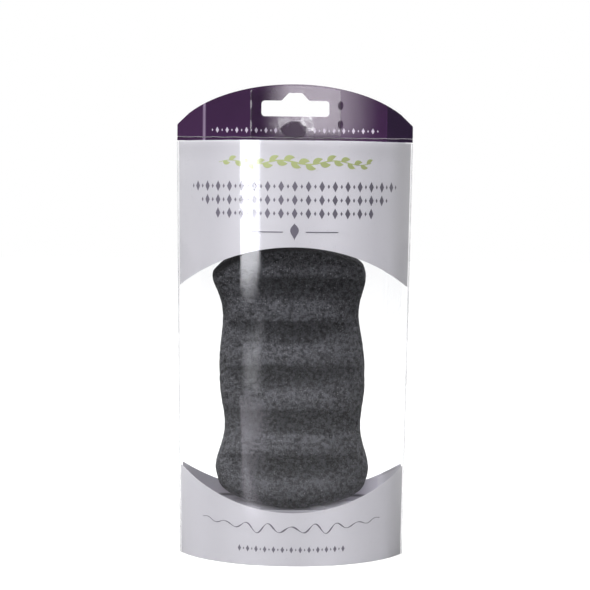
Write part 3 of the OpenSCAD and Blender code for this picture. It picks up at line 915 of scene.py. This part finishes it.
def glue_finish(name, tone, least):
    """Dried clear glue: a wet-looking spot with tiny bubbles."""
    f = Finish(name)
    bubble = (0.22 - f.cells(1500)).between(0, 0.12)
    glue = f.surface(Base_Color=f.blend(bubble, tone, (0.6, 0.56, 0.62)), Roughness=0.2)
    return f.end(f.cover(bubble * 0.2 + least, f.see_through((0.99, 0.99, 0.99)), glue))


def settings():
    """The four groups of settings: sponge, pack, colours and studio."""
    scene = bpy.context.scene
    return scene.sponge_sizes, scene.pack_sizes, scene.pack_colours, scene.pack_studio


def dress(finish, *names):
    """Gives CAD nodes their finish."""
    for name in names:
        NODES[name].data.materials.clear()
        NODES[name].data.materials.append(finish)


class SPONGEPACK_OT_foam_body(bpy.types.Operator):
    """Build the charcoal foam body with its ridges and pits"""

    bl_idname = "spongepack.foam_body"
    bl_label = "Foam body"

    def execute(self, context):
        s, p, c, _ = settings()
        grid, damp = foam_grid(s, p)
        rows, cols = grid.shape[:2]
        across = np.roll(grid, -1, axis=1) - np.roll(grid, 1, axis=1)
        out = unit(np.cross(across, np.gradient(grid, axis=0)))
        large = pits(grid, s.pit_size, seed=11, kept=0.42)
        small = pits(grid, s.pit_size * 0.52, seed=23, kept=0.5)
        crumb = rough(grid, 0.9 * MM, seed=5) * 0.6 + rough(grid, 1.9 * MM, seed=8) * 0.4
        swell = rough(grid, 13 * MM, seed=3)
        depth = s.pit_depth * (large + 0.45 * small) + 0.34 * MM * (1 - crumb)
        depth = depth + 0.5 * MM * (1 - swell) - 0.42 * MM
        points = (grid - out * depth[..., None]).reshape(-1, 3)
        ends = np.stack([grid[0].mean(axis=0), grid[-1].mean(axis=0)])
        n, ring = rows * cols, np.arange(cols)
        after = (ring + 1) % cols
        foot = np.stack([np.full(cols, n), after, ring], axis=-1)
        top = np.stack([np.full(cols, n + 1), ring + n - cols, after + n - cols], axis=-1)
        piece = make_mesh(
            "foam_body",
            np.concatenate([points, ends]),
            strip_faces(rows, cols, True).tolist() + foot.tolist() + top.tolist(),
            foam_finish(c), "sponge", "konjac", ["konjac_block"], sharp=180,
        )
        # The pits and the painted top shade are kept for the foam's shader.
        keep_values(piece, "pit", [*(0.8 * large + 0.5 * small).ravel(), 0, 0])
        keep_values(piece, "damp", [*damp.ravel(), 0, 0.3])
        return {"FINISHED"}


def pad_point(a, b, depth, s):
    """A place on the pad: a runs -1 to 1 across its outline, b up its length, and
    depth is measured forward from its back."""
    half = (PAD_HIGH.z - PAD_LOW.z) / 2
    z = (PAD_HIGH.z + PAD_LOW.z) / 2 + half * b
    corner = rounded(s.pad_inset, half * (1 - np.abs(b)))
    x = a * (sponge_half(z, s) - s.pad_inset - corner) + slump_shift(z, s)
    return xyz(x, PAD_HIGH.y - depth, z)


def fibre_paths(n, thick, s):
    """Paths, radii and tones of n fibres: each lies mostly along or across the pad,
    bends like a half sine and wavers, and is held inside the pad's outline by a tanh
    and a nearly hard clip; its radius follows a half sine, and its depth wavers too."""
    rng = np.random.default_rng(7)
    each, t = (n, 1), np.linspace(0, 1, FIBRE_POINTS)[None, :]
    lean = np.where(rng.random(each) < 0.62, 0.5 * np.pi, 0.0)
    lean = lean + rng.normal(0, 0.42, each)
    mid_a, mid_b = rng.uniform(-0.95, 0.95, each), rng.uniform(-0.97, 0.97, each)
    run = rng.uniform(0.22, 0.62, each) * (t - 0.5) * 2
    bend = rng.normal(0, 0.10, each) * np.cos(np.pi * (t - 0.5))
    waver = rng.normal(0, 0.03, each)
    bend = bend + waver * np.sin(2 * np.pi * (t * rng.uniform(1, 2, each) + rng.random(each)))
    a = mid_a + run * np.cos(lean) * 1.7 - bend * np.sin(lean) * 1.7
    b = mid_b + run * np.sin(lean) + bend * np.cos(lean)
    a, b = 0.965 * np.tanh(a * 1.15) / np.tanh(1.25), 0.975 * np.tanh(b * 1.25) / np.tanh(1.35)
    a, b = mix(np.clip(a, -0.965, 0.965), a, 0.004), mix(np.clip(b, -0.975, 0.975), b, 0.004)
    radius = rng.uniform(0.16, 0.36, each) * MM * (0.55 + 0.45 * np.sin(np.pi * t) ** 0.5)
    level = rng.uniform(0.14, 0.62, each) * thick
    level = level + 0.25 * MM * np.sin(2 * np.pi * (t * 2 + rng.random(each)))
    level = np.maximum(level, radius + 0.04 * MM)
    return pad_point(a, b, level, s), radius, rng.random(n)


class SPONGEPACK_OT_fibre_pad(bpy.types.Operator):
    """Build the pad of tangled plant fibre on the sponge's back"""

    bl_idname = "spongepack.fibre_pad"
    bl_label = "Fibre pad"

    def execute(self, context):
        s, _, c, _ = settings()
        finish = fibre_finish(c)
        thick = PAD_HIGH.y - PAD_LOW.y
        b = np.sin(np.pi / 2 * np.linspace(-1, 1, 90))[:, None]
        a = np.sin(np.pi / 2 * np.linspace(-1, 1, 50))[None, :]
        flat = pad_point(a, b, 0.0, s)
        fine, wide = rough(flat, 1.6 * MM, seed=31), rough(flat, 5 * MM, seed=37)
        felt = 0.55 * thick + 0.5 * MM * fine + 0.6 * MM * wide
        round_edge = 0.8 * MM * (np.abs(a) ** 10 + np.abs(b) ** 20)
        back = pad_point(a * 0.985, b * 0.99, felt + round_edge, s)
        front = pad_point(a * 0.985, b * 0.99, thick - 0.02 * MM, s)
        felted = closed_sheet(back[:, ::-1], front[:, ::-1])
        mat = make_mesh("fibre_mat", *felted, finish, "sponge", "loofah", ["loofah_pad"], sharp=60)

        paths, radius, tones = fibre_paths(s.fibres, thick, s)
        strands = tubes(paths, radius, FIBRE_SIDES)
        piece = make_mesh("fibre_strands", *strands, finish, "sponge", "loofah", sharp=70)
        keep_values(piece, "strand", np.repeat(tones, FIBRE_POINTS * FIBRE_SIDES))
        return {"FINISHED"}


class SPONGEPACK_OT_bowed_front(bpy.types.Operator):
    """Build the bowed clear front, the two prints behind it and its side folds"""

    bl_idname = "spongepack.bowed_front"
    bl_label = "Bowed front"

    def execute(self, context):
        _, p, c, _ = settings()
        turns = np.linspace(-1, 1, BOW_POINTS)
        inked = turns * p.ink_reach
        sheet = bow_sheet(turns, 0, p.height, 0.0, p.film, FILM_ROWS, p)
        film = film_finish(c, "bowed_film", 0.028)
        make_mesh("front_film", *sheet, film, "pack", "clear_film", ["front_panel"])
        ink = ink_finish("pale_ink", c.pale, scaled(c.pale, 0.93), 0.42, even=True)
        near, far = p.film + p.skin_gap, p.film + p.skin_gap + p.ink
        x = bow_point(inked, p.window_top, far, p)[..., 0]
        low, high = p.window_top - sag(p.window_round, x), p.height - p.ink_edge
        sheet = bow_sheet(inked, low, high, near, far, PRINT_ROWS, p)
        make_mesh("upper_print", *sheet, ink, "pack", "pale_ink", ["front_upper_print"])
        x = bow_point(inked, p.window_foot, far, p)[..., 0]
        low, high = p.ink_edge, p.window_foot + sag(p.window_round, x)
        sheet = bow_sheet(inked, low, high, near, far, PRINT_ROWS, p)
        make_mesh("lower_print", *sheet, ink, "pack", "pale_ink", ["front_lower_print"])
        z = np.linspace(0.3 * MM, p.height - 0.3 * MM, 60)
        half = mix(p.width_foot, p.width_top, z / p.height) / 2 - p.fold_round
        paths = np.stack([xyz(side * half, BACK_LOW.y, z) for side in (-1, 1)])
        waves = z[None, :] * 900 + np.array([[0.0], [2.0]])
        folds = tubes(paths, p.fold_round * (0.9 + 0.1 * np.sin(waves)), 10)
        make_mesh("side_folds", *folds, fold_finish(c), "pack", "clear_film")
        return {"FINISHED"}


class SPONGEPACK_OT_header_crease(bpy.types.Operator):
    """Build the crease pressed across the header"""

    bl_idname = "spongepack.header_crease"
    bl_label = "Header crease"

    def execute(self, context):
        _, p, _, _ = settings()
        x = np.linspace(-p.width_top / 2 + 0.4 * MM, p.width_top / 2 - 0.4 * MM, 90)
        z = p.height + 1.8 * MM + 0.175 * MM + 0.02 * MM * np.sin(x * 700)
        crease = tube_along_x(xyz(x, BACK_LOW.y - 0.14 * MM, z), 0.15 * MM, 8)
        make_mesh("header_crease", *crease, crease_finish(), "pack", "purple_ink")
        return {"FINISHED"}


class SPONGEPACK_OT_flat_films(bpy.types.Operator):
    """Give the flat films, the platform, the flaps and the glue their finishes"""

    bl_idname = "spongepack.flat_films"
    bl_label = "Flat films"

    def execute(self, context):
        _, p, c, _ = settings()
        upright = film_finish(c, "upright_film", 0.022, 0.012, "Y", 0.5)
        level = film_finish(c, "level_film", 0.022, 0.012, "Z", 0.5)
        dress(film_finish(c, "back_film", 0.006, 0.005, "Y", 0.4), "back_panel")
        dress(upright, "top_tuck_tab", "bottom_tuck_tab")
        dress(level, "top_flap", "bottom_flap")
        dress(milky_finish(c, "milky_deck", "Z"), "platform_deck")
        for leg in ("platform_front_leg", "platform_rear_leg"):
            dress(milky_finish(c, leg, "Y"), leg)
        dress(seam_finish(c, p), "side_flap")
        dress(tab_finish(c), "hang_tab")
        dress(glue_finish("seam_glue", (0.93, 0.93, 0.94), 0.01), "seam_glue")
        dress(glue_finish("header_glue", (0.035, 0.018, 0.045), 0.7), "glue_dot")
        return {"FINISHED"}


class SPONGEPACK_OT_flat_prints(bpy.types.Operator):
    """Give the header's and the back's prints their ink"""

    bl_idname = "spongepack.flat_prints"
    bl_label = "Flat prints"

    def execute(self, context):
        _, _, c, _ = settings()
        # The glow is a painted emission on the back's lower print.
        grey, deep, glow = c.grey, scaled(c.grey, 0.88), (0.17, 0.165, 0.185)
        dress(header_finish(c), "header_print")
        dress(ink_finish("grey_ink", grey, deep, 0.34), "back_upper_print")
        dress(ink_finish("lit_grey_ink", grey, deep, 0.34, glow), "back_lower_print")
        return {"FINISHED"}


def ribbon(points, half, place):
    """A printed line: a path of (s, z) points with a half width at each, carried to
    the pack's surface by a place function of s, z and layer."""
    along = unit(np.gradient(points, axis=0))
    side = np.stack([-along[:, 1], along[:, 0]], axis=-1) * half[:, None]
    edges = np.stack([points + side, points - side], axis=1)
    return closed_sheet(*(place(edges[..., 0], edges[..., 1], layer) for layer in (0, 1)))


def joined(sheets):
    """Several closed sheets as one list of points and faces."""
    points, faces, base = [], [], 0
    for some, quads in sheets:
        points.append(some)
        faces.append(quads + base)
        base += len(some)
    return np.concatenate(points), np.concatenate(faces)


def path(s, z):
    """A path of (s, z) points; either may be one number."""
    return np.stack(np.broadcast_arrays(s, z), axis=-1)


def rule(low, high, z, thick, place):
    """A level rule with round ends, from low to high."""
    s = np.linspace(low, high, 40)
    ends = np.minimum((s - low), (high - s)) / (0.5 * thick)
    half = 0.5 * thick * np.sqrt(np.clip(1 - np.clip(1 - ends, 0, 1) ** 2, 0.02, 1))
    return ribbon(path(s, z), half, place)


def gems(amount, pitch, z, tall, place):
    """A level row of upright lozenges, tall and short by turns."""
    found = []
    t = np.linspace(0, 1, 5)
    for k in range(amount):
        high = tall * (1.0 if k % 2 == amount // 2 % 2 else 0.42)
        line = path((k - (amount - 1) / 2) * pitch * 2, z + high * (t - 0.5))
        found.append(ribbon(line, 0.03 * MM + 0.27 * high * (1 - np.abs(2 * t - 1)), place))
    return found


def stem(t):
    """The sprig's stem: three waves over 76 mm."""
    return path(mix(-38 * MM, 38 * MM, t), 187.6 * MM + 0.9 * MM * np.sin(t * 6 * np.pi))


def leaf(k, place):
    """The sprig's leaf k: it leaves the stem at a slant, to the left and right by
    turns, curls back, and is widest at its middle."""
    t0, side = (k + 0.7) / 22.4, 1 if k % 2 else -1
    root, ahead = stem(np.array([t0, t0 + 0.01]))
    lean = math.atan2(*(ahead - root)[::-1]) + side * 0.85
    t = np.linspace(0, 1, 11)
    size = 5.2 * MM * (0.72 + 0.28 * math.sin(math.pi * t0))
    curve = lean - side * 0.5 * t
    line = root + size * t[:, None] * path(np.cos(curve), np.sin(curve))
    return ribbon(line, 0.02 * MM + 0.24 * size * np.sin(np.pi * t**0.8) ** 0.9, place)


class SPONGEPACK_OT_ornaments(bpy.types.Operator):
    """Print the plain sprig, thin rules and flourish on the front and the header"""

    bl_idname = "spongepack.ornaments"
    bl_label = "Ornaments"

    # Amount, pitch, height and size of the rows of lozenges, in mm.
    GEM_ROWS = (
        (35, 1.6, 176.5, 4.9),
        (31, 1.6, 170.2, 4.9),
        (25, 1.6, 164.0, 4.9),
        (25, 1.05, 7.8, 3.0),
    )

    def execute(self, context):
        _, p, c, _ = settings()

        def on_bow(s, z, layer):
            return bow_point(bow_turn(s, z, p), z, p.film + (0.012 + 0.022 * layer) * MM, p)

        def on_header(s, z, layer):
            return xyz(s, BACK_LOW.y - (0.19 - 0.03 * layer) * MM, z)

        leaf_ink = ink_finish("leaf_ink", c.leaf, scaled(c.leaf, 0.85), 0.42)
        leaves = [leaf(k, on_bow) for k in range(22)]
        make_mesh("sprig_leaves", *joined(leaves), leaf_ink, "pack", None)
        t = np.linspace(0, 1, 140)
        vine = ribbon(stem(t), (0.34 - 0.22 * np.abs(2 * t - 1)) * MM, on_bow)
        make_mesh("sprig_stem", *vine, leaf_ink, "pack", None)

        rule_ink = ink_finish("rule_ink", c.rule, scaled(c.rule, 1.25), 0.42)
        rows = [
            rule(low * MM, high * MM, 155.4 * MM, 0.5 * MM, on_bow)
            for low, high in ((-21, -5.2), (5.2, 21))
        ]
        for amount, pitch, z, tall in self.GEM_ROWS:
            rows += gems(amount, pitch * MM, z * MM, tall * MM, on_bow)
        t = np.linspace(0, 1, 15)
        wide = 0.03 * MM + 2.0 * MM * np.sin(np.pi * t**1.3) ** 1.2
        rows.append(ribbon(path(0, mix(151.6, 159.4, t) * MM), wide, on_bow))
        make_mesh("front_rules", *joined(rows), rule_ink, "pack", None)

        t = np.linspace(0, 1, 420)
        swell = np.sin(np.pi * t) ** 0.6 * (0.72 + 0.28 * np.cos(6 * np.pi * t))
        swing = 2.7 * MM * np.sin(17 * np.pi * t) * swell
        line = path(mix(-47 * MM, 47 * MM, t), 17.4 * MM + 3.2 * MM * (2 * t - 1) ** 2 + swing)
        nib = (0.12 + 0.26 * np.cos(17 * np.pi * t + 0.5) ** 2 * np.sin(np.pi * t)) * MM
        make_mesh("foot_flourish", *ribbon(line, nib, on_bow), rule_ink, "pack", None)

        pale_line = ink_finish("pale_line_ink", (0.40, 0.35, 0.43), (0.33, 0.29, 0.36), 0.3)
        lines = gems(35, 1.16 * MM, p.height + 5.4 * MM, 2.8 * MM, on_header)
        make_mesh("header_rules", *joined(lines), pale_line, "pack", None)
        return {"FINISHED"}


def oblong(left, right, low, high):
    """The four corners of a rectangle."""
    return (left, low), (right, low), (right, high), (left, high)


def stage_card(name, corners, finish, only_in_reflections=True):
    """A flat stage object from its four corners, with a UV map from 0 to 1."""
    mesh = bpy.data.meshes.new(name)
    mesh.from_pydata([tuple(corner) for corner in corners], [], [(0, 1, 2, 3)])
    uv = mesh.uv_layers.new(name="UVMap")
    uv.data.foreach_set("uv", np.array([0, 0, 1, 0, 1, 1, 0, 1], np.float32))
    mesh.materials.append(finish)
    thing = bpy.data.objects.new(name, mesh)
    bpy.context.scene.collection.objects.link(thing)
    if only_in_reflections:
        thing.visible_camera = thing.visible_diffuse = thing.visible_shadow = False


def glow_finish(name, strength, build, tone, clear=True):
    """An emission whose strength follows a mask of the card's own UV map; a clear
    card lets what lies behind it through where the mask ends."""
    f = Finish(name)
    place = f.node("ShaderNodeTexCoord", output="UV")
    mask = build(f.axis("X", place), f.axis("Y", place))
    strength = strength if clear else mask * strength
    glow = f.node("ShaderNodeEmission", {}, {"Color": tone, "Strength": strength})
    return f.end(f.cover(mask.clamp(), f.see_through(WHITE), glow) if clear else glow)


def strip_mask(u, v):
    """The strip: bright above its rounded lower end, and faint under it, there wider."""
    u = u * 1.227  # the card's width over that of the bright strip
    edge = u.between(0, 0.12) * (1 - u.between(0.74, 0.98))
    height = v * 0.95 - abs(u * 2.2 - 0.75) ** 2 * 0.016
    bright = ((height - 0.082) / 0.04).clamp()
    faint = u.between(0, 0.42) * (1 - u.between(0.56, 1.2))
    faint = faint * (1 - height.between(0.03, 0.066))
    return edge * bright + faint * 0.205


def table_mask(u, v):
    """The strip's broad glow on the table, which fades towards the camera."""
    along = v.between(0.07, 0.305) * (1 - v.between(0.92, 1.0) * 0.8)
    return u.between(0, 0.42) * (1 - u.between(0.36, 1.0)) * along


def header_mask(u, v):
    """The soft light on the header, which begins at its fold."""
    return u.between(0.04, 0.32) * (1 - u.between(0.55, 0.97)) * v.between(0, 0.12)


def floor_finish():
    """Floor: matt and dark in the light, but nearly white to the camera, and dimmer
    in reflections, there only behind the pack."""
    f = Finish("pale_floor")
    rays = f.node("ShaderNodeLightPath", output="Is Camera Ray")
    behind = f.axis("Y").between(-0.02, 0.25)
    seen = rays * 0.93 + rays.output("Is Glossy Ray") * behind * 0.6
    matt = f.surface(Base_Color=(0.1, 0.1, 0.1), Roughness=0.9, Specular_IOR_Level=0.1)
    white = f.node("ShaderNodeEmission", {}, {"Strength": seen})
    return f.end(f.node("ShaderNodeAddShader", {}, {0: matt, 1: white}))


def studio_world(fill):
    """World: white to the camera, a fill light on the pieces, and in reflections
    bright behind the pack and dim in front of it."""
    f = Finish("studio", world=True)
    rays = f.node("ShaderNodeLightPath", output="Is Camera Ray")
    way = f.node("ShaderNodeTexCoord", output="Generated")
    behind = f.axis("Y", way).between(-0.25, 0.35) * 0.92 + 0.08
    glossy = rays.output("Is Glossy Ray")
    level = rays + (1 - rays) * (glossy * behind + (1 - glossy) * fill)
    sky = f.node("ShaderNodeBackground", {}, {"Color": WHITE, "Strength": level})
    f.node("ShaderNodeOutputWorld", {}, {"Surface": sky})
    return f.holder


def camera_place(st):
    """The camera's matrix from its place, pitch, yaw and roll."""
    right = Vector((math.cos(st.yaw), math.sin(st.yaw), 0))
    ahead = Vector((-math.sin(st.yaw), math.cos(st.yaw), 0))
    up = math.sin(st.pitch) * ahead + math.cos(st.pitch) * Vector((0, 0, 1))
    x = math.cos(st.roll) * right + math.sin(st.roll) * up
    y = -math.sin(st.roll) * right + math.cos(st.roll) * up
    place = Matrix((x, y, x.cross(y))).transposed().to_4x4()
    place.translation = Vector(st.camera)
    return place


class SPONGEPACK_OT_studio(bpy.types.Operator):
    """Set up the pale floor, the lights and the camera"""

    bl_idname = "spongepack.studio"
    bl_label = "Studio"

    def execute(self, context):
        _, _, _, st = settings()
        scene = context.scene
        scene.view_settings.view_transform = "Standard"
        scene.world = studio_world(st.fill)
        corners = [(x, y, 0) for x, y in oblong(-4, 4, -4, 4)]
        stage_card("floor", corners, floor_finish(), only_in_reflections=False)

        key = bpy.data.lights.new("key_light", "AREA")
        key.shape, key.size, key.energy = "SQUARE", st.key_size, st.key
        lamp = bpy.data.objects.new("key_light", key)
        scene.collection.objects.link(lamp)
        lamp.location = st.lamp
        aim = Vector((0, 0, 0.11)) - lamp.location
        lamp.rotation_euler = aim.to_track_quat("-Z", "Y").to_euler()

        sine, cosine = math.sin(st.strip_turn), math.cos(st.strip_turn)
        out, side = np.array([sine, -cosine, 0.0]), np.array([cosine, sine, 0.0])
        up = np.array([0.0, 0.0, 1.0])
        stage_card(
            "strip_light",
            [out + side * s + up * z for s, z in oblong(-0.175, 0.30, 0.0, 0.95)],
            glow_finish("strip_glow", st.strip, strip_mask, (0.98, 0.985, 1.04)),
        )
        spread = ((-0.19, 1.0), (0.46, 1.0), (0.57, 0.13), (-0.228, 0.13))
        stage_card(
            "table_glow",
            [out * d + side * s * d + up * 0.002 for s, d in spread],
            glow_finish("table_glow", st.table, table_mask, (1.0, 0.96, 1.06)),
        )
        stage_card(
            "header_light",
            [(x, -0.083, z) for x, z in oblong(-0.021, 0.049, 0.202, 0.245)],
            glow_finish("header_glow", st.header, header_mask, (1.0, 0.935, 1.01), clear=False),
        )

        cam = bpy.data.cameras.new("camera")
        cam.sensor_width, cam.lens = 36.0, st.lens
        cam.clip_start, cam.clip_end = 0.01, 50.0
        eye = bpy.data.objects.new("camera", cam)
        scene.collection.objects.link(eye)
        eye.matrix_world = camera_place(st)
        scene.camera = eye
        return {"FINISHED"}


class SPONGEPACK_PT_panel(bpy.types.Panel):
    """Buttons for each group of pieces, with their sizes and colours"""

    bl_label = "Sponge pack"
    bl_idname = "SPONGEPACK_PT_panel"
    bl_space_type = "VIEW_3D"
    bl_region_type = "UI"
    bl_category = "Sponge pack"

    def draw(self, context):
        for maker in MAKERS:
            self.layout.operator(maker.bl_idname)
        for name, _ in GROUPS:
            box = self.layout.box()
            held = getattr(context.scene, name)
            for key in held.__annotations__:
                box.prop(held, key)


GROUPS = [
    ("sponge_sizes", SpongeSizes),
    ("pack_sizes", PackSizes),
    ("pack_colours", PackColours),
    ("pack_studio", StudioSettings),
]
MAKERS = [
    SPONGEPACK_OT_foam_body,
    SPONGEPACK_OT_fibre_pad,
    SPONGEPACK_OT_bowed_front,
    SPONGEPACK_OT_header_crease,
    SPONGEPACK_OT_flat_films,
    SPONGEPACK_OT_flat_prints,
    SPONGEPACK_OT_ornaments,
    SPONGEPACK_OT_studio,
]


def register():
    """Adds the groups of settings, the operators and the panel."""
    for name, group in GROUPS:
        bpy.utils.register_class(group)
        setattr(bpy.types.Scene, name, PointerProperty(type=group))
    for maker in (*MAKERS, SPONGEPACK_PT_panel):
        bpy.utils.register_class(maker)


def unregister():
    """Takes away all that register adds."""
    for maker in (SPONGEPACK_PT_panel, *reversed(MAKERS)):
        bpy.utils.unregister_class(maker)
    for name, group in reversed(GROUPS):
        delattr(bpy.types.Scene, name)
        bpy.utils.unregister_class(group)


def main():
    register()
    bpy.ops.spongepack.foam_body()
    bpy.ops.spongepack.fibre_pad()
    bpy.ops.spongepack.bowed_front()
    bpy.ops.spongepack.header_crease()
    bpy.ops.spongepack.flat_films()
    bpy.ops.spongepack.flat_prints()
    bpy.ops.spongepack.ornaments()
    bpy.ops.spongepack.studio()


if __name__ == "__main__":
    main()
